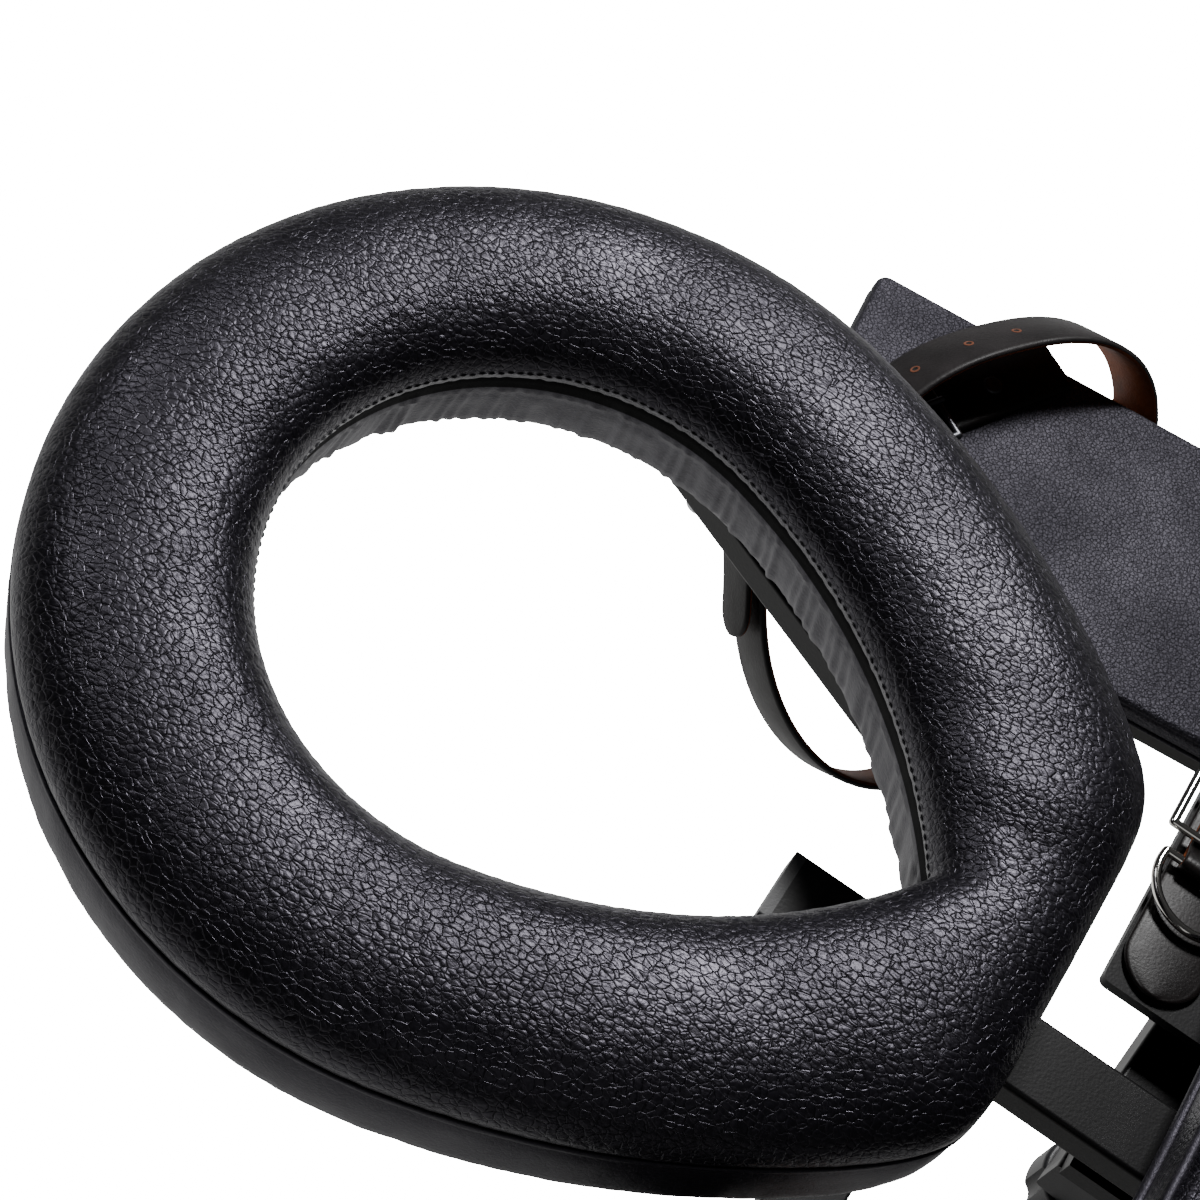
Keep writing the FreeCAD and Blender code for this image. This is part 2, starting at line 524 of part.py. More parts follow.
def belt_pieces():
    """The right board's belt, in the board's frame."""
    half_w = BELT_W / 2
    path = [(ARCH_HALF_SPAN, -10.0)] + oval_points(ARCH_HALF_SPAN, ARCH_HEIGHT, ARCH_FULLNESS, 0, 180, 15)
    arch = ribbon(path, BELT_W)
    for x in (-38.0, -14.0, 8.0):
        arch = arch.cut(disc(2.0, 30.0, ARCH_HEIGHT + 5, x))
    arch = lean_and_turn(arch, ARCH_LEAN, ARCH_TURN, ARCH_CENTRE)
    arch = arch.cut(box(-400, 0, -200, BOARD_HALF + GAP, 0, ARM_BOARD_TOP))
    tuck = box(ARCH_HALF_SPAN - 42, ARCH_HALF_SPAN, -half_w, half_w, ARM_BOARD_BOTTOM - BELT_T, ARM_BOARD_BOTTOM)
    tuck = moved(turned(tuck, ARCH_TURN), V(ARCH_CENTRE.x + 2, ARCH_CENTRE.y - 2, 0))
    hinge_x = BUCKLE_AT - BUCKLE_HALF
    layer = box(-73, 60, -half_w + 1, half_w - 1, 0, BELT_T)
    layer = layer.cut(box(hinge_x - 4, hinge_x + 4, -2.5, 2.5, -1, BELT_T + 1))
    layer = moved(turned(layer, LAYER_TURN), RIVET)
    on_board = box(-ARM_BOARD_FRONT, 0, -BOARD_HALF, BOARD_HALF, ARM_BOARD_TOP, ARM_BOARD_TOP + BELT_T)
    strap = arch.fuse([layer.common(on_board), tuck]).removeSplitter()

    def on_layer(shape):
        return moved(turned(shape, LAYER_TURN), RIVET)

    rivet = disc(4.0, BELT_T, BELT_T + 1.2)
    rivet = rivet.makeFillet(1.0, [e for e in rivet.Edges if e.BoundBox.ZMin > BELT_T + 1.1])

    ring_z = BELT_T + RING_WIRE + 0.1
    frame = moved(wire_frame(0, 0, ring_z, BUCKLE_HALF, 14.8), V(BUCKLE_AT, 0, 0))
    eye = Part.makeCylinder(3.0, 4.0, V(hinge_x, -2, ring_z), V(0, 1, 0))
    pin = Part.makeCylinder(1.3, 21.0, V(hinge_x, 0, ring_z + RING_WIRE + 1.5), V(1, 0, 0))
    prong = eye.fuse(pin).removeSplitter()
    prong = prong.cut(Part.makeCylinder(RING_WIRE + FIT, 6.0, V(hinge_x, -3, ring_z), V(0, 1, 0)))

    dip = [(x, -z) for x, z in oval_points(LOOP_HALF_SPAN, LOOP_DROP, 2.0, 0, 180, 18)]
    path = [(44.0, 74.0), (LOOP_HALF_SPAN - 1, 34.0)] + dip + [(-LOOP_HALF_SPAN + 1, 30.0), (-30.0, 76.0)]
    loop = ribbon(path, BELT_W - 2)
    outside = -LOOP_HALF_SPAN - BELT_T / 2
    tongue_half = half_w - 2.5
    tongue = box(outside - BELT_T, outside + 0.6, -tongue_half, tongue_half, 14, 34)
    tip = Part.makeCylinder(tongue_half, BELT_T + 0.6, V(outside - BELT_T, 0, 14), V(1, 0, 0))
    loop = loop.fuse([tongue, tip]).removeSplitter()
    loop = lean_and_turn(loop, LOOP_LEAN, LOOP_TURN, LOOP_CENTRE)
    loop = loop.cut(box(-400, 100, -300, 300, ARM_BOARD_BOTTOM, ARM_BOARD_BOTTOM + 200))
    return {
        "belt_strap": strap,
        "belt_loop": loop,
        "belt_rivet": on_layer(rivet),
        "buckle_frame": on_layer(frame),
        "buckle_prong": on_layer(prong),
    }


def outer_reach(toe_in):
    """How far the board's rear outer corner lies outside the board pivot."""
    angle = math.radians(toe_in)
    return ARM_BOARD_REAR * math.sin(angle) + ARM_BOARD_W / 2 * math.cos(angle)


def left_toe_in():
    """The left board's angle that makes the bench reach as far to the left as to the right."""
    right = ARM_REACH * math.cos(math.radians(RIGHT_SWING)) + outer_reach(RIGHT_TOE_IN)
    wanted = right - ARM_REACH * math.cos(math.radians(LEFT_SWING))
    half = ARM_BOARD_W / 2
    diagonal = math.hypot(ARM_BOARD_REAR, half)
    return math.degrees(math.asin(wanted / diagonal) - math.atan2(half, ARM_BOARD_REAR))


def make_arms():
    bracket = box(ARM_PIVOT_X - 15, ARM_PIVOT_X + ARM_STEP + 15, -15, 15, ARM_TUBE_TOP + GAP, SPINE_BOTTOM)
    studs = []
    for name, side, pivot_x, swing, toe_in in (
        ("right", 1, ARM_PIVOT_X, RIGHT_SWING, RIGHT_TOE_IN),
        ("left", -1, ARM_PIVOT_X + ARM_STEP, -LEFT_SWING, left_toe_in()),
    ):
        flip = mirrored if side < 0 else (lambda s: s)
        stud = disc(PIVOT_RADIUS, ARM_TUBE_BOTTOM - 22, SPINE_BOTTOM - 3, pivot_x)
        bracket = bracket.cut(stud)
        studs.append(stud)
        grip = knob(17.0, ARM_TUBE_BOTTOM - 19, ARM_TUBE_BOTTOM - GAP)
        grip = grip.cut(disc(PIVOT_RADIUS + FIT, ARM_TUBE_BOTTOM - 24, ARM_TUBE_BOTTOM, 0))
        save("arm_knob_" + name, moved(grip, V(pivot_x, 0, 0)))

        def place_arm(shape):
            return moved(flip(turned(shape, swing)), V(pivot_x, 0, 0))

        tube, plugs = arm_tube()
        save("arm_tube_" + name, place_arm(tube))
        save("arm_tube_plugs_" + name, *[place_arm(p) for p in plugs])
        for node, shape in cuff_pieces().items():
            shape = moved(shape, V(0, -LEFT_PLATE_IN if side < 0 else 0, 0))
            save(node + "_" + name, place_arm(turned(shape, PLATE_TURN)))

        def place_board(shape):
            return place_arm(moved(turned(shape, toe_in - swing), V(0, ARM_REACH, 0)))

        pieces = arm_board()
        pieces.update(belt_pieces())
        for node, shape in pieces.items():
            save(node + "_" + name, place_board(shape))
    save("arm_pivot_bracket", bracket)
    save("arm_pivot_studs", *studs)


def make_clamp():
    z = SPINE_BOTTOM - 10
    screw = disc(CLAMP_RADIUS, z - 18, TUBE_Z - TUBE_H / 2 - GAP, CLAMP_X)
    save("clamp_screw", screw)
    grip = knob(20.0, z - 20, z - 2)
    save("clamp_knob", moved(grip, V(CLAMP_X, 0, 0)).cut(screw))


os.makedirs("parts", exist_ok=True)
make_headrest()
make_frame()
make_torso()
make_clamp()
make_arms()
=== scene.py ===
import bpy
import json
import math
import numpy as np
from mathutils import Matrix, Vector


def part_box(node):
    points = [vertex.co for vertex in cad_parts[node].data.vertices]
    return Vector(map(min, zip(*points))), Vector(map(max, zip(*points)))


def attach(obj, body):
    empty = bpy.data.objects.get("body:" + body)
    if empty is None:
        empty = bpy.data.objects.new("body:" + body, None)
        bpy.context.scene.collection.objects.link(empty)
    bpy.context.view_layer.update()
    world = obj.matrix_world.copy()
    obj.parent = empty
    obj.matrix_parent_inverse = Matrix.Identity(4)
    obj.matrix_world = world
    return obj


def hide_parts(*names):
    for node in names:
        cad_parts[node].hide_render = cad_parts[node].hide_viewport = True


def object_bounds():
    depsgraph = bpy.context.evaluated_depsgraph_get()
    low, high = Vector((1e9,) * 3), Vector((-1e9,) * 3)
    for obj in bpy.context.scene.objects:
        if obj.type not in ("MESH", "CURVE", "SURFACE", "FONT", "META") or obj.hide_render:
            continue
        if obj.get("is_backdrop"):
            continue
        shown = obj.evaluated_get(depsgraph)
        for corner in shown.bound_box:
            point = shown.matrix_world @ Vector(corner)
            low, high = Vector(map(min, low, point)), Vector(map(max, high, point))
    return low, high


# The bench in metres, in the CAD's frame: +X from the headrest to the rear, +Y the user's right, +Z up.
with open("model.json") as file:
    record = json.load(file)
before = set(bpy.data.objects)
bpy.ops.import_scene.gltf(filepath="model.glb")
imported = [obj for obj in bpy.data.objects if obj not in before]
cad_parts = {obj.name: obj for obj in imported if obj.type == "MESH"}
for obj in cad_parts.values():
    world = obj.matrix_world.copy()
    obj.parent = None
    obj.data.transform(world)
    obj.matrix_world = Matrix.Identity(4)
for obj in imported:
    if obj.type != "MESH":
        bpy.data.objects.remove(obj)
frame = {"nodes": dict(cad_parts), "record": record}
start_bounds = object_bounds()
RNG = np.random.default_rng(7)
MM = 0.001

ring_lo, ring_hi = [np.array(v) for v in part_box("ring_pad")]
torso_lo, torso_hi = [np.array(v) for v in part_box("torso_pad")]
REAR_X = ring_hi[0]               # the ring's flat rear edge
CROWN = 26 * MM                  # the dome's height over its seam
SEAM_Z = ring_hi[2] - CROWN
RING_BOTTOM = ring_lo[2]
JOINTS = {j["name"]: j for j in frame["record"]["behaviour"]["joints"]}


# ---------------------------------------------------------------- materials

def new_material(name):
    material = bpy.data.materials.new(name)
    material.use_nodes = True
    nodes = material.node_tree.nodes
    return material, nodes, material.node_tree.links, nodes["Principled BSDF"]


def ramp(nodes, links, source, stops):
    node = nodes.new("ShaderNodeValToRGB")
    while len(node.color_ramp.elements) < len(stops):
        node.color_ramp.elements.new(0.5)
    for element, (place, value) in zip(node.color_ramp.elements, stops):
        element.position = place
        element.color = (*value, 1) if isinstance(value, tuple) else (value, value, value, 1)
    links.new(source, node.inputs["Fac"])
    return node.outputs["Color"]


def noise(nodes, links, coords, scale, detail=3.0, roughness=0.5):
    node = nodes.new("ShaderNodeTexNoise")
    node.inputs["Scale"].default_value = scale
    node.inputs["Detail"].default_value = detail
    node.inputs["Roughness"].default_value = roughness
    links.new(coords, node.inputs["Vector"])
    return node


def math_node(nodes, links, operation, a, b):
    node = nodes.new("ShaderNodeMath")
    node.operation = operation
    for socket, value in zip(node.inputs, (a, b)):
        if isinstance(value, (int, float)):
            socket.default_value = value
        else:
            links.new(value, socket)
    return node.outputs[0]


def bump(nodes, links, height, distance, strength=1.0, normal=None):
    node = nodes.new("ShaderNodeBump")
    node.inputs["Distance"].default_value = distance
    node.inputs["Strength"].default_value = strength
    links.new(height, node.inputs["Height"])
    if normal is not None:
        links.new(normal, node.inputs["Normal"])
    return node.outputs["Normal"]


def leather(name, colour, cell, depth, gloss, wrinkle=0.6 * MM, stretch=(1.0, 1.0, 1.0)):
    """Grained leather: pebbles of one cell size bounded by creases, finer pores, and soft folds."""
    material, nodes, links, shader = new_material(name)
    coords = nodes.new("ShaderNodeTexCoord").outputs["Object"]
    mapping = nodes.new("ShaderNodeMapping")
    mapping.inputs["Scale"].default_value = stretch
    links.new(coords, mapping.inputs["Vector"])
    wobble = noise(nodes, links, mapping.outputs["Vector"], 0.45 / cell, 2.0)
    shift = nodes.new("ShaderNodeVectorMath")
    shift.operation = "MULTIPLY_ADD"
    shift.inputs[1].default_value = (cell * 0.9,) * 3
    links.new(wobble.outputs["Color"], shift.inputs[0])
    links.new(mapping.outputs["Vector"], shift.inputs[2])
    pebbles = nodes.new("ShaderNodeTexVoronoi")
    pebbles.inputs["Scale"].default_value = 1.0 / cell
    links.new(shift.outputs[0], pebbles.inputs["Vector"])
    creases = nodes.new("ShaderNodeTexVoronoi")
    creases.feature = "DISTANCE_TO_EDGE"
    creases.inputs["Scale"].default_value = 0.75 / cell
    links.new(shift.outputs[0], creases.inputs["Vector"])
    dome_stops = [(0.0, 1.0), (0.30, 0.88), (0.52, 0.42), (0.72, 0.0)]
    dome = ramp(nodes, links, pebbles.outputs["Distance"], dome_stops)
    ridge = ramp(nodes, links, creases.outputs["Distance"], [(0.0, 0.0), (0.05, 0.75), (0.14, 1.0)])
    patches = noise(nodes, links, coords, 26.0, 3.0)
    amount = ramp(nodes, links, patches.outputs["Fac"], [(0.30, 0.55), (0.68, 1.0)])
    pores = noise(nodes, links, coords, 4.5 / cell, 2.0)
    grain = math_node(nodes, links, "ADD", math_node(nodes, links, "MULTIPLY", dome, 0.7),
                      math_node(nodes, links, "MULTIPLY", ridge, 0.75))
    fine = math_node(nodes, links, "MULTIPLY", pores.outputs["Fac"], 0.3)
    grain = math_node(nodes, links, "ADD", grain, fine)
    grain = math_node(nodes, links, "MULTIPLY", grain, amount)
    folds = noise(nodes, links, coords, 34.0, 3.0, 0.55)
    soft = bump(nodes, links, folds.outputs["Fac"], wrinkle, 0.6)
    links.new(bump(nodes, links, grain, depth, 1.0, soft), shader.inputs["Normal"])
    # Painted shade: the base colour falls to a third of the leather's colour in the valleys between the
    # pebbles.
    dark = tuple(c * 0.35 for c in colour)
    links.new(ramp(nodes, links, dome, [(0.0, dark), (0.55, colour)]), shader.inputs["Base Color"])
    rough = math_node(nodes, links, "MULTIPLY", patches.outputs["Fac"], 0.22)
    rough = math_node(nodes, links, "ADD", rough, 1.0 - gloss)
    links.new(rough, shader.inputs["Roughness"])
    shader.inputs["Specular IOR Level"].default_value = 0.55
    shader.inputs["Specular Tint"].default_value = (0.88, 0.83, 1.0, 1)
    return material


def smooth_strap(name, colour, roughness, fibre=0.0):
    """Belt leather: a smooth finished face, or a fibrous flesh face where fibre is above 0."""
    material, nodes, links, shader = new_material(name)
    coords = nodes.new("ShaderNodeTexCoord").outputs["Object"]
    fine = noise(nodes, links, coords, 900.0, 3.0)
    broad = noise(nodes, links, coords, 60.0, 3.0)
    light = tuple(min(c * 1.35, 1.0) for c in colour)
    dark = tuple(c * 0.62 for c in colour)
    tone = ramp(nodes, links, broad.outputs["Fac"], [(0.32, dark), (0.7, light)])
    links.new(tone, shader.inputs["Base Color"])
    swell = math_node(nodes, links, "MULTIPLY", broad.outputs["Fac"], 2.0)
    height = math_node(nodes, links, "ADD", fine.outputs["Fac"], swell)
    links.new(bump(nodes, links, height, 0.12 * MM + fibre, 0.8), shader.inputs["Normal"])
    rough = math_node(nodes, links, "MULTIPLY", broad.outputs["Fac"], 0.25)
    links.new(math_node(nodes, links, "ADD", rough, roughness - 0.12), shader.inputs["Roughness"])
    shader.inputs["Specular IOR Level"].default_value = 0.3
    return material


def hard(name, colour, roughness, metallic=0.0, grain=0.04 * MM, scale=700.0, wear=0.0, specular=0.5):
    """Metal, paint or plastic with a fine surface texture and uneven gloss."""
    material, nodes, links, shader = new_material(name)
    coords = nodes.new("ShaderNodeTexCoord").outputs["Object"]
    fine = noise(nodes, links, coords, scale, 2.0)
    broad = noise(nodes, links, coords, 18.0, 4.0, 0.6)
    links.new(bump(nodes, links, fine.outputs["Fac"], grain, 0.7), shader.inputs["Normal"])
    rough = math_node(nodes, links, "MULTIPLY", broad.outputs["Fac"], 0.3 * roughness)
    links.new(math_node(nodes, links, "ADD", rough, roughness * 0.85), shader.inputs["Roughness"])
    lighter = tuple(min(c * (1 + wear) + 0.002 * wear, 1.0) for c in colour)
    tone = ramp(nodes, links, broad.outputs["Fac"], [(0.35, colour), (0.75, lighter)])
    links.new(tone, shader.inputs["Base Color"])
    shader.inputs["Metallic"].default_value = metallic
    shader.inputs["Specular IOR Level"].default_value = specular
    return material


COARSE = leather("coarse leather", (0.0026, 0.0023, 0.0038), cell=2.2 * MM, depth=0.32 * MM, gloss=0.72,
                 stretch=(0.85, 1.2, 1.0))
WALL_LEATHER = leather("boxing leather", (0.006, 0.0055, 0.008), cell=1.4 * MM, depth=0.08 * MM, gloss=0.62,
                       wrinkle=1.2 * MM)
FINE = leather("fine leather", (0.010, 0.010, 0.013), cell=1.25 * MM, depth=0.30 * MM, gloss=0.56,
               wrinkle=0.3 * MM)
STRAP = smooth_strap("strap face", (0.014, 0.0115, 0.012), 0.52, 0.06 * MM)
TAN = smooth_strap("strap flesh", (0.21, 0.048, 0.007), 0.72, 0.2 * MM)
GLOSS_STRAP = smooth_strap("glossy strap", (0.006, 0.004, 0.004), 0.42)
THREAD = hard("thread", (0.035, 0.035, 0.04), 0.6)
CHROME = hard("chrome", (0.86, 0.84, 0.80), 0.09, metallic=1.0, grain=0.01 * MM, scale=300.0)
STEEL = hard("zinc steel", (0.55, 0.56, 0.58), 0.32, metallic=1.0, grain=0.03 * MM)
PAINT = hard("black powder coat", (0.0030, 0.0028, 0.0032), 0.42, grain=0.08 * MM, scale=900.0, wear=0.8,
             specular=0.2)
PLASTIC = hard("black plastic", (0.013, 0.013, 0.015), 0.45, grain=0.08 * MM, scale=1400.0, wear=0.6)
RUBBER = hard("rubber", (0.02, 0.02, 0.02), 0.8, grain=0.2 * MM, scale=500.0)
BAND = hard("seam band", (0.0016, 0.0016, 0.002), 0.75, specular=0.15)
BOARD = hard("stained plywood", (0.016, 0.015, 0.014), 0.62, grain=0.2 * MM, scale=240.0, wear=0.9)
HOLE_RIM = hard("hole rim", (0.15, 0.045, 0.018), 0.7)
DARK_STEEL = hard("dark steel", (0.10, 0.10, 0.11), 0.38, metallic=1.0)
# Painted shade: a near-black disc put in each belt hole in place of a real opening.
HOLE_SHADE = hard("hole inside", (0.002, 0.002, 0.002), 0.9)
BY_SLOT = {
    "coarse_leather": COARSE, "fine_leather": FINE, "belt_leather": STRAP, "black_board": BOARD,
    "black_steel": PAINT, "black_plastic": PLASTIC, "chrome": CHROME, "steel_screws": STEEL, "rubber": RUBBER,
}
DARK_METAL_NODES = ("belt_rivet", "buckle_")


def put_material(obj, *materials):
    if obj.data.materials:
        obj.data.materials.clear()
    for material in materials:
        obj.data.materials.append(material)


for part in frame["record"]["subparts"]:
    node = frame["nodes"][part["node"]]
    dark_metal = part["node"].startswith(DARK_METAL_NODES)
    put_material(node, DARK_STEEL if dark_metal else BY_SLOT[part["material_slot"]])


# ---------------------------------------------------------------- mesh helpers

def mesh_object(name, vertices, faces, indices=None):
    mesh = bpy.data.meshes.new(name)
    mesh.from_pydata([tuple(float(c) for c in v) for v in vertices], [], faces)
    if indices is not None:
        mesh.polygons.foreach_set("material_index", indices)
    mesh.polygons.foreach_set("use_smooth", [True] * len(faces))
    mesh.update()
    obj = bpy.data.objects.new(name, mesh)
    bpy.context.scene.collection.objects.link(obj)
    return obj


def loft(name, rings, wrap=False, index_of=None):
    """Closed loops of the same length joined into a skin. wrap joins the last loop to the first,
    otherwise both ends are capped."""
    count = len(rings[0])
    vertices = np.concatenate(rings)
    faces = []
    indices = []
    steps = len(rings) if wrap else len(rings) - 1
    for i in range(steps):
        a = i * count
        b = ((i + 1) % len(rings)) * count
        for j in range(count):
            k = (j + 1) % count
            faces.append((a + j, a + k, b + k, b + j))
            indices.append(index_of(i, j) if index_of else 0)
    if not wrap:
        faces.append(tuple(reversed(range(count))))
        faces.append(tuple(range(len(vertices) - count, len(vertices))))
        indices += [0, 0]
    return mesh_object(name, vertices, faces, indices)


def rod(name, path, radius, sides=8):
    """A round welt along a closed path of points."""
    path = np.asarray(path)
    ahead = np.roll(path, -1, axis=0) - np.roll(path, 1, axis=0)
    ahead /= np.linalg.norm(ahead, axis=1)[:, None]
    side = np.cross(ahead, (0, 0, 1.0))
    side /= np.linalg.norm(side, axis=1)[:, None] + 1e-9
    up = np.cross(side, ahead)
    rings = []
    for point, s, u in zip(path, side, up):
        angles = np.arange(sides) * 2 * np.pi / sides
        rings.append(point + radius * (np.outer(np.cos(angles), s) + np.outer(np.sin(angles), u)))
    return loft(name, rings, wrap=True)


def stitches(name, path, normals, pitch, length, radius):
    """Separate threads laid end to end along a closed path, each dipping into the leather at its ends."""
    path = np.asarray(path)
    closed = np.vstack([path, path[:1]])
    run = np.concatenate([[0], np.cumsum(np.linalg.norm(np.diff(closed, axis=0), axis=1))])
    total = run[-1]
    count = int(total / pitch)
    vertices, faces = [], []
    sides, parts = 5, 4
    normals = np.vstack([normals, normals[:1]])

    def at(s):
        s = s % total
        return (np.array([np.interp(s, run, closed[:, k]) for k in range(3)]),
                np.array([np.interp(s, run, normals[:, k]) for k in range(3)]))

    for i in range(count):
        start = i * total / count
        base = len(vertices)
        middle, normal = at(start + length / 2)
        ahead = at(start + length)[0] - at(start)[0]
        ahead /= np.linalg.norm(ahead) + 1e-9
        normal = normal - ahead * normal.dot(ahead)
        normal /= np.linalg.norm(normal) + 1e-9
        side = np.cross(ahead, normal)
        for k in range(parts + 1):
            t = k / parts
            centre = middle + ahead * (t - 0.5) * length + normal * radius * (math.sin(math.pi * t) - 0.35)
            r = radius * (0.45 + 0.55 * math.sin(math.pi * t))
            for j in range(sides):
                angle = 2 * math.pi * j / sides
                vertices.append(centre + r * (math.cos(angle) * side + math.sin(angle) * normal))
        for k in range(parts):
            for j in range(sides):
                m = (j + 1) % sides
                faces.append((base + k * sides + j, base + k * sides + m,
                              base + (k + 1) * sides + m, base + (k + 1) * sides + j))
    obj = mesh_object(name, vertices, faces)
    put_material(obj, THREAD)
    return obj


def smooth_noise(count, waves, amplitude):
    """A smooth random curve round a closed loop."""
    angles = np.arange(count) * 2 * np.pi / count
    total = np.zeros(count)
    for wave in waves:
        total += RNG.uniform(0.4, 1.0) * np.sin(wave * angles + RNG.uniform(0, 6.28))
    return amplitude * total / math.sqrt(len(waves))


# ---------------------------------------------------------------- ring cushion

RING_STEPS = 960
OUTER_R, HOLE_R = 168 * MM, 95 * MM
RING_CENTRE = np.array([REAR_X - 198 * MM, 0.0])
FLANK = math.radians(75)
OUTER_FLANK = 333 * MM
HOLE_POINT = np.array([REAR_X - 50 * MM, 0.0])


def along_ray(angle, centre, radius):
    """Distance from the ring's centre to a circle, along a ray at an angle."""
    d = np.array([math.cos(angle), math.sin(angle)])
    to = RING_CENTRE - centre
    b = d.dot(to)
    return -b + math.sqrt(max(b * b - to.dot(to) + radius * radius, 0.0))


def ring_radii(angle):
    """Radii of the hole and of the outside along a ray."""
    a = abs((angle + math.pi) % (2 * math.pi) - math.pi)
    if a >= FLANK:
        return HOLE_R, OUTER_R
    axis = np.array([math.cos(FLANK), math.sin(FLANK)])
    start = RING_CENTRE + HOLE_R * axis
    chord = HOLE_POINT - start
    hole_flank = -chord.dot(chord) / (2 * chord.dot(axis))
    hole = along_ray(a, start - hole_flank * axis, hole_flank)
    outer = along_ray(a, RING_CENTRE + (OUTER_R - OUTER_FLANK) * axis, OUTER_FLANK)
    rear = (REAR_X - RING_CENTRE[0]) / max(math.cos(a), 0.05)
    rounding = 34.0
    outer = (outer ** -rounding + rear ** -rounding) ** (-1 / rounding)
    return hole, outer


# Each pair is (depth below the seam, distance out from the hole's edge or from the outer edge), in mm.
HOLE_WALL = ((37.5, 7.6), (33.0, 6.6), (27.0, 5.3), (21.0, 4.0), (15.5, 2.9), (12.0, 2.6), (10.4, 1.2))
HOLE_BAND = ((8.0, 1.4), (5.0, 1.6), (2.6, 1.5), (1.3, 2.2), (0.4, 2.0))
OUTER_SEAM = ((0.6, -1.4), (1.6, -1.2), (2.6, 0.1), (4.2, 0.4), (5.2, -0.6), (6.4, -0.4))
OUTER_WALL = ((9.0, 0.3), (14.0, 0.7), (20.0, 0.8), (27.0, 0.4), (33.0, -0.6), (37.0, -1.9), (39.2, -3.6))
DOME, WALL, UNDERSIDE, SEAM_BAND = range(4)
DOME_STEPS = 34


def ring_profile(z_low):
    """The cushion's section, from the hole round to the outside, as rows of (share of the way across,
    shift outward, height over the seam, panel)."""
    rows = [(0.0, 15.0, z_low, UNDERSIDE), (0.0, 9.5, z_low, UNDERSIDE)]
    rows += [(0.0, out, -depth, WALL) for depth, out in HOLE_WALL]
    rows += [(0.0, out, -depth, SEAM_BAND) for depth, out in HOLE_BAND]
    for i in range(DOME_STEPS + 1):
        t = math.pi * i / DOME_STEPS
        c, s = math.cos(t), math.sin(t)
        share = 0.5 - 0.5 * math.copysign(abs(c) ** 0.84, c)
        swell = 1.5 * math.sin(t) ** 0.3 * -c if s > 0 else 0.0
        rows.append((share, swell, 0.2 + (CROWN / MM - 0.7) * max(s, 0.0) ** 0.86, DOME))
    rows += [(1.0, out, -depth, WALL) for depth, out in OUTER_SEAM + OUTER_WALL]
    rows += [(1.0, -7.0, z_low, UNDERSIDE), (1.0, -14.0, z_low, UNDERSIDE)]
    return rows


def build_ring():
    """The ring cushion with its gathered walls, the stitches round its hole and its outer welt."""
    angles = np.arange(RING_STEPS) * 2 * np.pi / RING_STEPS
    radii = np.array([ring_radii(a) for a in angles])
    window = np.ones(5) / 5
    for k in range(2):
        radii[:, k] = np.convolve(np.concatenate([radii[-2:, k], radii[:, k], radii[:2, k]]), window, "valid")
    rays = np.stack([np.cos(angles), np.sin(angles)], axis=1)
    width = radii[:, 1] - radii[:, 0]
    gathers = smooth_noise(RING_STEPS, [37, 53, 71, 96, 121, 150], 0.75)
    hem = smooth_noise(RING_STEPS, [9, 17, 29, 43, 61], 1.3)
    slack = smooth_noise(RING_STEPS, [5, 8, 13, 21], 0.5)
    pucker = smooth_noise(RING_STEPS, [64, 88, 111, 147], 0.35)
    creases = smooth_noise(RING_STEPS, [11, 19, 31, 46], 0.8)
    rings = []
    panels = []
    rows = ring_profile((RING_BOTTOM - SEAM_Z) / MM)
    for share, out, z, panel in rows:
        height = np.full(RING_STEPS, float(z))
        shift = np.full(RING_STEPS, float(out))
        if panel == WALL:
            depth = min(1.0, max(0.0, -z / 34.0))
            shift += (0.8 * gathers if share == 0 else 0.12 * gathers) * (0.2 + depth) * (1 if share else -1)
            shift += creases * math.sin(depth * 9.0) * (0.5 if share == 0 else 0.3)
            if z < -30:
                height += hem * (0.7 if share == 0 else 0.1)
        elif panel == DOME:
            near_edge = 1 - min(share, 1 - share) / 0.5
            height += slack * (1 - near_edge ** 4) + pucker * near_edge ** 6
            height *= np.clip(width / (OUTER_R - HOLE_R), 0.86, 1.0) ** 0.6
        radius = radii[:, 0] + width * share + shift * MM
        rings.append(np.column_stack([RING_CENTRE + rays * radius[:, None], SEAM_Z + height * MM]))
        panels.append(panel)
    finish = {DOME: 0, WALL: 1, UNDERSIDE: 1, SEAM_BAND: 2}
    cushion = loft("ring_cushion", rings, wrap=True, index_of=lambda i, j: finish[panels[i]])
    put_material(cushion, COARSE, WALL_LEATHER, BAND)
    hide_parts("ring_pad")
    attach(cushion, "headrest")
    normals = np.column_stack([-rays * 0.93, np.full(RING_STEPS, 0.37)])
    dome_start = next(n for n, panel in enumerate(panels) if panel == DOME)
    thread = stitches("ring_hole_stitches", rings[dome_start + 1], normals, 3.4 * MM, 2.6 * MM, 0.34 * MM)
    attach(thread, "headrest")
    radius = radii[:, 1] + 0.1 * MM
    path = np.column_stack([RING_CENTRE + rays * radius[:, None], SEAM_Z - 1.4 * MM + 0.2 * MM * pucker])
    welt = rod("ring_outer_welt", path, 0.85 * MM, 6)
    put_material(welt, WALL_LEATHER)
    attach(welt, "headrest")


build_ring()


# ---------------------------------------------------------------- rounded rectangular cushions

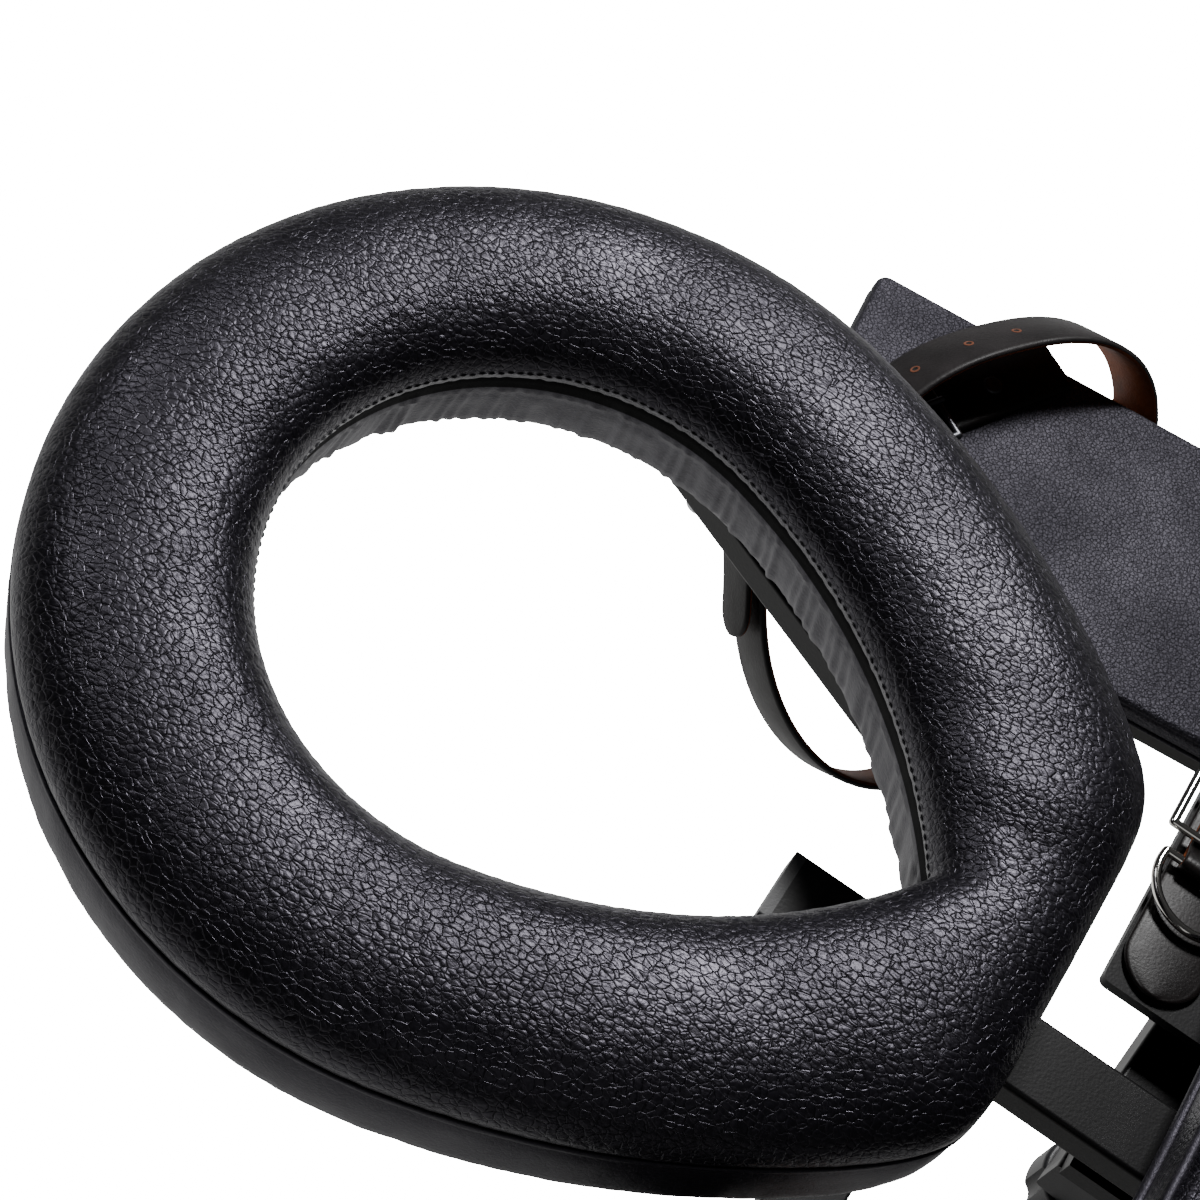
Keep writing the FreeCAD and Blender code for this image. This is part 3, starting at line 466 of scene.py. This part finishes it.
def rounded_outline(x0, x1, y0, y1, radius, per_corner=14, along=60):
    """Evenly spread points round a rounded rectangle, and how far each is from a corner (0 to 1)."""
    points, middle = [], []
    corners = [(x1 - radius, y1 - radius, 0), (x0 + radius, y1 - radius, 90),
               (x0 + radius, y0 + radius, 180), (x1 - radius, y0 + radius, 270)]
    for n, (cx, cy, first) in enumerate(corners):
        for i in range(per_corner + 1):
            angle = math.radians(first + 90 * i / per_corner)
            points.append((cx + radius * math.cos(angle), cy + radius * math.sin(angle)))
            middle.append(0.0)
        nx, ny, nfirst = corners[(n + 1) % 4]
        angle = math.radians(nfirst)
        end = (nx + radius * math.cos(angle), ny + radius * math.sin(angle))
        start = points[-1]
        for i in range(1, along):
            t = i / along
            points.append((start[0] + (end[0] - start[0]) * t, start[1] + (end[1] - start[1]) * t))
            middle.append(math.sin(math.pi * t))
    return np.array(points), np.array(middle)


def outward(points):
    """Unit normals that point out of a closed outline."""
    ahead = np.roll(points, -1, axis=0) - np.roll(points, 1, axis=0)
    normal = np.column_stack([ahead[:, 1], -ahead[:, 0]])
    return normal / np.linalg.norm(normal, axis=1)[:, None]


def pad_rings(x0, x1, y0, y1, z0, z1, radius, crown, pull, edge, wall_bulge=0.6 * MM):
    """Loops of a crowned, boxed cushion: underside, side wall pulled in between the corners, domed top."""
    points, middle = rounded_outline(x0, x1, y0, y1, radius)
    normal = outward(points)
    half = (y1 - y0) / 2
    middle_y = np.full(len(points), (y0 + y1) / 2)
    spine = np.column_stack([np.clip(points[:, 0], x0 + half, x1 - half), middle_y])
    side = points - normal * (pull * middle)[:, None]
    rings = []
    for t in (0.0, 0.35, 0.8, 0.965):
        rings.append(np.column_stack([spine + (side - spine) * max(t, 0.02), np.full(len(points), z0)]))
    seam = z1 - crown - edge
    wall_low = z0 + 1.5 * MM
    for i in range(9):
        t = i / 8
        bulge = wall_bulge * math.sin(math.pi * t) - (0.8 * MM if i in (0, 8) else 0.0)
        height = wall_low + (seam - wall_low) * t
        rings.append(np.column_stack([side + normal * bulge, np.full(len(points), height)]))
    for i in range(1, 9):
        angle = math.pi / 2 * i / 8
        inset = edge * (1 - math.cos(angle))
        height = seam + edge * math.sin(angle)
        rings.append(np.column_stack([side - normal * inset, np.full(len(points), height)]))
    last = side - normal * edge
    for i in range(1, 26):
        t = 1 - i / 25
        height = z1 - crown * t ** 2.6
        rings.append(np.column_stack([spine + (last - spine) * max(t, 0.012), np.full(len(points), height)]))
    return rings, side, normal, seam


def build_torso():
    """The body cushion, with a slightly uneven wall between two welts."""
    x0, y0, z0 = torso_lo
    x1, y1, z1 = torso_hi
    rings, side, normal, seam = pad_rings(x0, x1, y0, y1, z0, z1, 28 * MM, 7 * MM, 2.5 * MM, 9 * MM)
    waves = smooth_noise(len(side), [7, 12, 19, 33], 0.5 * MM)
    first_wall, wall_steps = 4, 8
    for n in range(wall_steps + 1):
        rings[first_wall + n][:, :2] += normal * (waves * math.sin(math.pi * n / wall_steps))[:, None]
    cushion = loft("torso_cushion", rings)
    put_material(cushion, COARSE)
    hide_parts("torso_pad")
    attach(cushion, "base")
    for name, z in (("torso_welt_top", seam + 1.5 * MM), ("torso_welt_bottom", z0 + 2.2 * MM)):
        welt = rod(name, np.column_stack([side + normal * 0.4 * MM, np.full(len(side), z)]), 2.2 * MM)
        put_material(welt, WALL_LEATHER)
        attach(welt, "base")


build_torso()


# ---------------------------------------------------------------- arm boards

# Name, sign of Y, and how far the board's front end is turned, in degrees.
SIDES = (("right", 1, 6.5), ("left", -1, 10.0711))
BOARD_FRONT, BOARD_REAR, BOARD_HALF = -262 * MM, 150 * MM, 64 * MM
BOARD_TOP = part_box("arm_board_pad_right")[1][2]
BOARD_PAD_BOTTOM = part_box("arm_board_pad_right")[0][2]
BOARD_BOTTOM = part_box("arm_board_base_right")[0][2]


def turn2(points, degrees):
    """Points turned about the vertical."""
    a = math.radians(degrees)
    c, s = math.cos(a), math.sin(a)
    points = np.asarray(points, float)
    out = points.copy()
    out[..., 0] = points[..., 0] * c - points[..., 1] * s
    out[..., 1] = points[..., 0] * s + points[..., 1] * c
    return out


def board_place(points, side, toe, vectors=False):
    """From a board's own frame to the bench's frame."""
    out = turn2(points, toe)
    out[..., 1] *= side
    if not vectors:
        pivot = JOINTS["board_swivel_" + ("right" if side > 0 else "left")]["pos_m"]
        out[..., 0] += pivot[0]
        out[..., 1] += pivot[1]
    return out


def build_board(name, side, toe):
    """The thin cushion on an arm board, and the hem round its lower edge."""
    rings, outline, normal, seam = pad_rings(
        BOARD_FRONT, BOARD_REAR, -BOARD_HALF, BOARD_HALF, BOARD_PAD_BOTTOM, BOARD_TOP,
        5 * MM, 0.9 * MM, 0.2 * MM, 2.4 * MM, 0.3 * MM)
    rings = [board_place(r, side, toe) for r in rings]
    pad = loft("arm_cushion_" + name, rings)
    put_material(pad, FINE)
    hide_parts("arm_board_pad_" + name)
    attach(pad, "board_" + name)
    hem_z = np.full(len(outline), BOARD_PAD_BOTTOM + 0.6 * MM)
    hem = np.column_stack([outline - normal * 0.3 * MM, hem_z])
    welt = rod("arm_welt_" + name, board_place(hem, side, toe), 0.9 * MM, 6)
    put_material(welt, FINE)
    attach(welt, "board_" + name)


# ---------------------------------------------------------------- straps

def strap(name, path, across, width, thickness, outer, inner, flip=1.0):
    """A flat leather strap along a path. across gives its width direction; outer faces across x path."""
    path = np.asarray(path, float)
    across = np.asarray(across, float)
    if across.ndim == 1:
        across = np.tile(across, (len(path), 1))
    width = np.broadcast_to(np.asarray(width, float), (len(path),))
    ahead = np.gradient(path, axis=0)
    ahead /= np.linalg.norm(ahead, axis=1)[:, None] + 1e-12
    across = across - ahead * np.sum(across * ahead, axis=1)[:, None]
    across /= np.linalg.norm(across, axis=1)[:, None]
    face = np.cross(across, ahead) * flip
    t = thickness / 2
    crease, lip = 2.2 * MM, 0.8 * MM      # the pressed line beside each edge, and the edge's bevel
    inner_faces = (0, 1, 2)
    rings = []
    for p, a, f, w in zip(path, across, face, width):
        h = max(w / 2, 0.4 * MM)
        c = min(crease, h * 0.4)
        e = min(lip, h / 4)
        section = [(-h, -t * 0.3), (-h + e, -t), (h - e, -t), (h, -t * 0.3), (h, t * 0.3),
                   (h - e, t * 0.92), (h - c, t * 0.86), (h - c * 1.35, t), (0, t),
                   (-h + c * 1.35, t), (-h + c, t * 0.86), (-h + e, t * 0.92), (-h, t * 0.3)]
        rings.append(np.array([p + a * u + f * v for u, v in section]))
    obj = loft(name, rings, index_of=lambda i, j: 1 if j in inner_faces else 0)
    put_material(obj, outer, inner)
    return obj


def resample(points, step):
    """The same path with evenly spread points."""
    points = np.asarray(points, float)
    run = np.concatenate([[0], np.cumsum(np.linalg.norm(np.diff(points, axis=0), axis=1))])
    places = np.linspace(0, run[-1], max(int(run[-1] / step), 4) + 1)
    return np.column_stack([np.interp(places, run, points[:, k]) for k in range(points.shape[1])])


def eased(points, step=1.5 * MM, passes=6):
    """The path through points with its corners rounded off."""
    line = resample(points, step)
    for _ in range(passes):
        line[1:-1] = (line[:-2] + 2 * line[1:-1] + line[2:]) / 4
    return line


BELT_W, BELT_T = 27 * MM, 3 * MM
TAIL_W = BELT_W - 2 * MM
# The arch leans over the board and the loop hangs under it. Their lengths are in mm in the board's own
# frame, whose origin is the swivel, with heights from the ring's seam; turns and leans are in degrees.
ARCH = dict(centre=(-188.5, 20.4, -74.3), turn=49.6, lean=36.4, half=69.0, height=50.2, fullness=2.4)
LOOP = dict(centre=(-202.0, -38.5, -117.0), turn=43.4, lean=51.2, half=53.8, drop=71.0)
RIVET = np.array([-203.5, 35.5]) * MM
LAYER_TURN = 55.0
LAYER_REACH = (-72 * MM, 33 * MM)     # the flat layer's ends, from the rivet
HOLE_PLACES = (-38.0, -14.0, 8.0)     # along the arch, in mm
HOLE_OUTER, HOLE_INNER = 2.0, 1.25
TIP_HALF = 11.0


def leaning(points, shape):
    """From a belt's own plane (x along, y across, z up it) to the board's frame."""
    lean = math.radians(-shape["lean"])
    points = np.asarray(points, float)
    tilted = points.copy()
    tilted[..., 1] = points[..., 1] * math.cos(lean) - points[..., 2] * math.sin(lean)
    tilted[..., 2] = points[..., 1] * math.sin(lean) + points[..., 2] * math.cos(lean)
    return turn2(tilted, shape["turn"])


def belt_point(points, shape):
    """From a belt's own plane, in mm, to the board's frame in metres."""
    x, y, z = shape["centre"]
    return leaning(points, shape) * MM + np.array([x * MM, y * MM, SEAM_Z + z * MM])


def finish_strap(obj, body, *nodes):
    """Attaches a strap to the body it rides on, and hides the CAD nodes it stands in for."""
    if nodes:
        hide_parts(*nodes)
    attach(obj, body)


def oval_arc(x_half, z_half, start, end, count, power=1.0):
    """Points on part of an oval in a belt's own plane; a power under 1 makes it squarer."""
    arc = []
    for degrees in np.linspace(start, end, count):
        c, s = math.cos(math.radians(degrees)), math.sin(math.radians(degrees))
        arc.append((math.copysign(x_half * abs(c) ** power, c), 0, z_half * max(s, 0) ** power))
    return arc


def build_arch(name, side, place):
    """The belt that arches over the board, goes past its edge and turns in under it."""
    arch = belt_point(oval_arc(ARCH["half"], ARCH["height"], 180, 0, 121, 2 / ARCH["fullness"]), ARCH)
    top = len(arch) // 2
    keep = [i for i, p in enumerate(arch) if i > top or p[2] > BOARD_TOP + 0.5 * MM]
    arch = arch[keep]
    lean_across = leaning((0, 1, 0), ARCH)
    flat_across = turn2((0, 1, 0), ARCH["turn"])
    back = turn2((-1, 0, 0), ARCH["turn"])
    foot = arch[-1]
    under = BOARD_BOTTOM - 1.6 * MM
    tail = [foot + np.array([0, 0, -3 * MM])]
    tail += [np.array([*(foot + back * reach)[:2], under]) for reach in (7 * MM, 40 * MM)]
    path = eased(np.vstack([arch, tail]), 1.6 * MM, 10)
    steps = np.linalg.norm(np.diff(path, axis=0), axis=1)
    share = np.concatenate([[0], np.cumsum(steps)]) / steps.sum()
    flat = np.clip((share - 0.74) / 0.12, 0, 1)[:, None]      # the foot turns from leaning to flat
    across = lean_across * (1 - flat) + flat_across * flat
    belt = strap("belt_arch_" + name, place(path), place(across, True), BELT_W, BELT_T, STRAP, TAN, -side)
    finish_strap(belt, "board_" + name, "belt_strap_" + name)


def build_layer(name, side, place):
    """The flat layer of the belt, riveted to the board under the arch."""
    start = np.array([*RIVET, BOARD_TOP + 1.6 * MM])
    ahead = turn2((1, 0, 0), LAYER_TURN)
    across = turn2((0, 1, 0), LAYER_TURN)
    path = start + np.linspace(*LAYER_REACH, 60)[:, None] * ahead
    layer = strap("belt_layer_" + name, place(path), place(across, True), TAIL_W, BELT_T,
                  GLOSS_STRAP, TAN, -side)
    finish_strap(layer, "board_" + name)


def build_tail(name, side, place):
    """The belt's tail, hanging in a loop under the board, and the rounded tongue tip outside it."""
    dip = [(x, y, -z) for x, y, z in oval_arc(LOOP["half"], LOOP["drop"], 0, 180, 91)]
    line = [(40, 0, 74), (LOOP["half"] - 2, 0, 34)] + dip + [(-LOOP["half"] + 1, 0, 30), (-32, 0, 74)]
    line = belt_point(eased(np.array(line, float), 1.2, 14), LOOP)
    line = line[line[:, 2] < BOARD_BOTTOM - 0.5 * MM]
    across = place(leaning((0, 1, 0), LOOP), True)
    loop = strap("belt_tail_loop_" + name, place(line), across, TAIL_W, BELT_T, STRAP, TAN, -side)
    finish_strap(loop, "board_" + name, "belt_loop_" + name)

    out = -LOOP["half"] - 3.4
    rows, widths = [], []
    for z in np.concatenate([np.linspace(-2.6, 8, 12), np.linspace(10, 36, 12)]):
        rows.append((out - 3.2 * max(0.0, (30 - z) / 30) ** 1.5, 0, z))
        widths.append(2 * math.sqrt(max(TIP_HALF ** 2 - max(8 - z, 0) ** 2, 0.3)) * MM)
    tip = strap("belt_tip_" + name, place(belt_point(rows, LOOP)), across, widths, 2.6 * MM,
                STRAP, TAN, -side)
    finish_strap(tip, "board_" + name)


def arch_height(x):
    """Height of the arch over its own base at a place along it."""
    return ARCH["height"] * (1 - abs(x / ARCH["half"]) ** ARCH["fullness"]) ** (1 / ARCH["fullness"])


def build_holes(name, place):
    """Punched holes in the arch: a raised tan rim round a dark disc, painted shade that stands in for the
    hole's depth.
    """
    count = 20
    for n, x in enumerate(HOLE_PLACES):
        z = arch_height(x)
        slope = arch_height(x + 1) - z
        normal = np.array([-slope, 0, 1.0])
        normal /= np.linalg.norm(normal)
        along = np.array([1.0, 0, slope])
        along /= np.linalg.norm(along)
        vertices, faces, indices = [], [], []
        for r, lift in ((HOLE_OUTER, 1.52), (HOLE_INNER, 1.72), (HOLE_INNER * 0.92, 1.55)):
            for k in range(count):
                a = 2 * math.pi * k / count
                round_the_hole = along * r * math.cos(a) + np.array([0, 1, 0]) * r * math.sin(a)
                vertices.append(np.array([x, 0, z]) + round_the_hole + normal * lift)
        for k in range(count):
            m = (k + 1) % count
            faces += [(k, m, count + m, count + k), (count + k, count + m, 2 * count + m, 2 * count + k)]
            indices += [0, 0]
        # The disc across the hole carries the painted shade.
        faces.append(tuple(range(2 * count, 3 * count)))
        indices.append(1)
        hole = mesh_object("belt_hole_%s_%d" % (name, n), place(belt_point(vertices, ARCH)), faces, indices)
        put_material(hole, HOLE_RIM, HOLE_SHADE)
        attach(hole, "board_" + name)


def build_belt(name, side, toe):
    def place(points, vectors=False):
        return board_place(points, side, toe, vectors)

    build_arch(name, side, place)
    build_layer(name, side, place)
    build_tail(name, side, place)
    build_holes(name, place)


# ---------------------------------------------------------------- cuffs on the arms

# Turns of the cuff on its arm and of each arm, in degrees, and how far in the left plate sits.
CUFF_TURN = 6.0
ARM_ANGLE = {"right": -6.0, "left": -17.0}
PLATE_IN = {"right": 0.0, "left": 18 * MM}
CUFF_X, CUFF_END, CUFF_FAR = -20 * MM, 51 * MM, 148 * MM
CUFF_HALF = 15.5 * MM
BAR_Y, FOLD_REACH = 103 * MM, 2.7 * MM      # the D-ring's bar, and how closely the strap wraps it


def build_cuff(name, side):
    """The strap on the arm's plate, its rounded end, and the doubled strap that holds the D-ring."""
    pivot = JOINTS["arm_swing_" + name]["pos_m"]
    plate_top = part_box("strap_plate_" + name)[1][2]

    def place(points, vectors=False):
        out = np.array(points, float)
        if not vectors:
            out[..., 1] -= PLATE_IN[name]
        out = turn2(out, CUFF_TURN + ARM_ANGLE[name])
        out[..., 1] *= side
        if not vectors:
            out[..., 0] += pivot[0]
            out[..., 1] += pivot[1]
        return out

    y_round = CUFF_END + CUFF_HALF
    rows, widths = [], []
    for y in np.concatenate([np.linspace(CUFF_END + 0.3 * MM, y_round, 14),
                             np.linspace(y_round + 3 * MM, CUFF_FAR, 26)]):
        rows.append((CUFF_X, y, plate_top + 1.55 * MM))
        widths.append(2 * math.sqrt(max(CUFF_HALF ** 2 - max(y_round - y, 0) ** 2, 1e-7)))
    across = place((1, 0, 0), True)
    flat = strap("cuff_flat_" + name, place(rows), across, widths, 3 * MM, GLOSS_STRAP, TAN, side)
    finish_strap(flat, "arm_" + name, "cuff_strap_" + name)

    bar_z = plate_top + 7 * MM
    low, high = plate_top + 3.9 * MM, plate_top + 5.6 * MM
    line = [(CUFF_X, CUFF_FAR, low), (CUFF_X, BAR_Y + 4 * MM, low)]
    for degrees in range(-90, 91, 15):
        a = math.radians(degrees)
        line.append((CUFF_X, BAR_Y - FOLD_REACH * math.cos(a), bar_z + FOLD_REACH * math.sin(a)))
    line += [(CUFF_X, BAR_Y + 4 * MM, bar_z + 1.4 * MM), (CUFF_X, BAR_Y + 9 * MM, high)]
    line += [(CUFF_X, CUFF_FAR, high)]
    fold = strap("cuff_fold_" + name, place(eased(np.array(line), 0.8 * MM, 3)), across,
                 25 * MM, 1.6 * MM, GLOSS_STRAP, TAN, side)
    finish_strap(fold, "arm_" + name, "cuff_loop_" + name)


for side_name, sign, toe_in in SIDES:
    build_board(side_name, sign, toe_in)
    build_belt(side_name, sign, toe_in)
    build_cuff(side_name, sign)


# ---------------------------------------------------------------- floor, light and camera

FLOOR_HALF = 6.0
FLOOR_GLOW, FLOOR_GLOW_SEEN = 0.30, 26.0      # for every ray, and added for the camera's own rays
# Name, place, watts, width and height of each soft light, all aimed at the ring.
LAMPS = (
    ("key", (-0.35, 1.12, 1.88), 34.0, 0.34, 0.26),
    ("side", (-1.50, 0.45, 1.75), 5.5, 0.4, 0.4),
    ("fill", (0.4, -1.4, 1.9), 1.2, 1.0, 1.0),
)
VIEW_ELEVATION, VIEW_ROLL, VIEW_YAW = math.radians(57.03), math.radians(27.72), math.radians(-7.78)
VIEW_PLACE = np.array([REAR_X - 126.0 * MM, -437.5 * MM, SEAM_Z + 711.2 * MM])


def build_studio():
    """A pale floor that reads as white behind the bench, and soft lights over it."""
    corners = [(-FLOOR_HALF, -FLOOR_HALF, 0), (FLOOR_HALF, -FLOOR_HALF, 0),
               (FLOOR_HALF, FLOOR_HALF, 0), (-FLOOR_HALF, FLOOR_HALF, 0)]
    floor = mesh_object("floor", corners, [(0, 1, 2, 3)])
    material, nodes, links, shader = new_material("pale floor")
    shader.inputs["Base Color"].default_value = (0.9, 0.9, 0.89, 1)
    shader.inputs["Roughness"].default_value = 0.9
    shader.inputs["Emission Color"].default_value = (1.0, 1.0, 0.985, 1)
    seen = nodes.new("ShaderNodeLightPath").outputs["Is Camera Ray"]
    glow = math_node(nodes, links, "MULTIPLY", seen, FLOOR_GLOW_SEEN)
    links.new(math_node(nodes, links, "ADD", glow, FLOOR_GLOW), shader.inputs["Emission Strength"])
    put_material(floor, material)
    floor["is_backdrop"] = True
    world = bpy.data.worlds.new("studio")
    bpy.context.scene.world = world
    world.use_nodes = True
    background = world.node_tree.nodes["Background"]
    background.inputs["Color"].default_value = (1, 1, 1, 1)
    background.inputs["Strength"].default_value = 0.03
    target = Vector((float(RING_CENTRE[0]), 0.0, float(SEAM_Z)))
    for name, place, power, width, height in LAMPS:
        light = bpy.data.lights.new(name, "AREA")
        light.shape = "RECTANGLE"
        light.size = width
        light.size_y = height
        light.energy = power
        lamp = bpy.data.objects.new(name, light)
        lamp.location = place
        lamp.rotation_euler = (target - Vector(place)).to_track_quat("-Z", "Y").to_euler()
        bpy.context.scene.collection.objects.link(lamp)


def build_camera():
    """A long lens from above the user's left, rolled, which frames the ring and the right arm board."""
    level = math.cos(VIEW_ELEVATION)
    ahead = np.array([math.sin(VIEW_YAW) * level, math.cos(VIEW_YAW) * level, -math.sin(VIEW_ELEVATION)])
    right = np.array([math.cos(VIEW_YAW), -math.sin(VIEW_YAW), 0.0])
    down = np.cross(ahead, right)
    x_axis = math.cos(VIEW_ROLL) * right - math.sin(VIEW_ROLL) * down
    y_axis = math.sin(VIEW_ROLL) * right + math.cos(VIEW_ROLL) * down
    camera = bpy.data.objects.new("camera", bpy.data.cameras.new("camera"))
    camera.data.sensor_width = 36.0
    camera.data.lens = 78.0
    camera.data.clip_start = 0.02
    matrix = Matrix.Identity(4)
    for row in range(3):
        matrix[row][0] = x_axis[row]
        matrix[row][1] = -y_axis[row]
        matrix[row][2] = -ahead[row]
        matrix[row][3] = VIEW_PLACE[row]
    camera.matrix_world = matrix
    bpy.context.scene.collection.objects.link(camera)
    bpy.context.scene.camera = camera


build_studio()
build_camera()

as_lists = lambda pair: [[float(c) for c in corner] for corner in pair]
{"cad": as_lists(start_bounds), "visual": as_lists(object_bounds())}
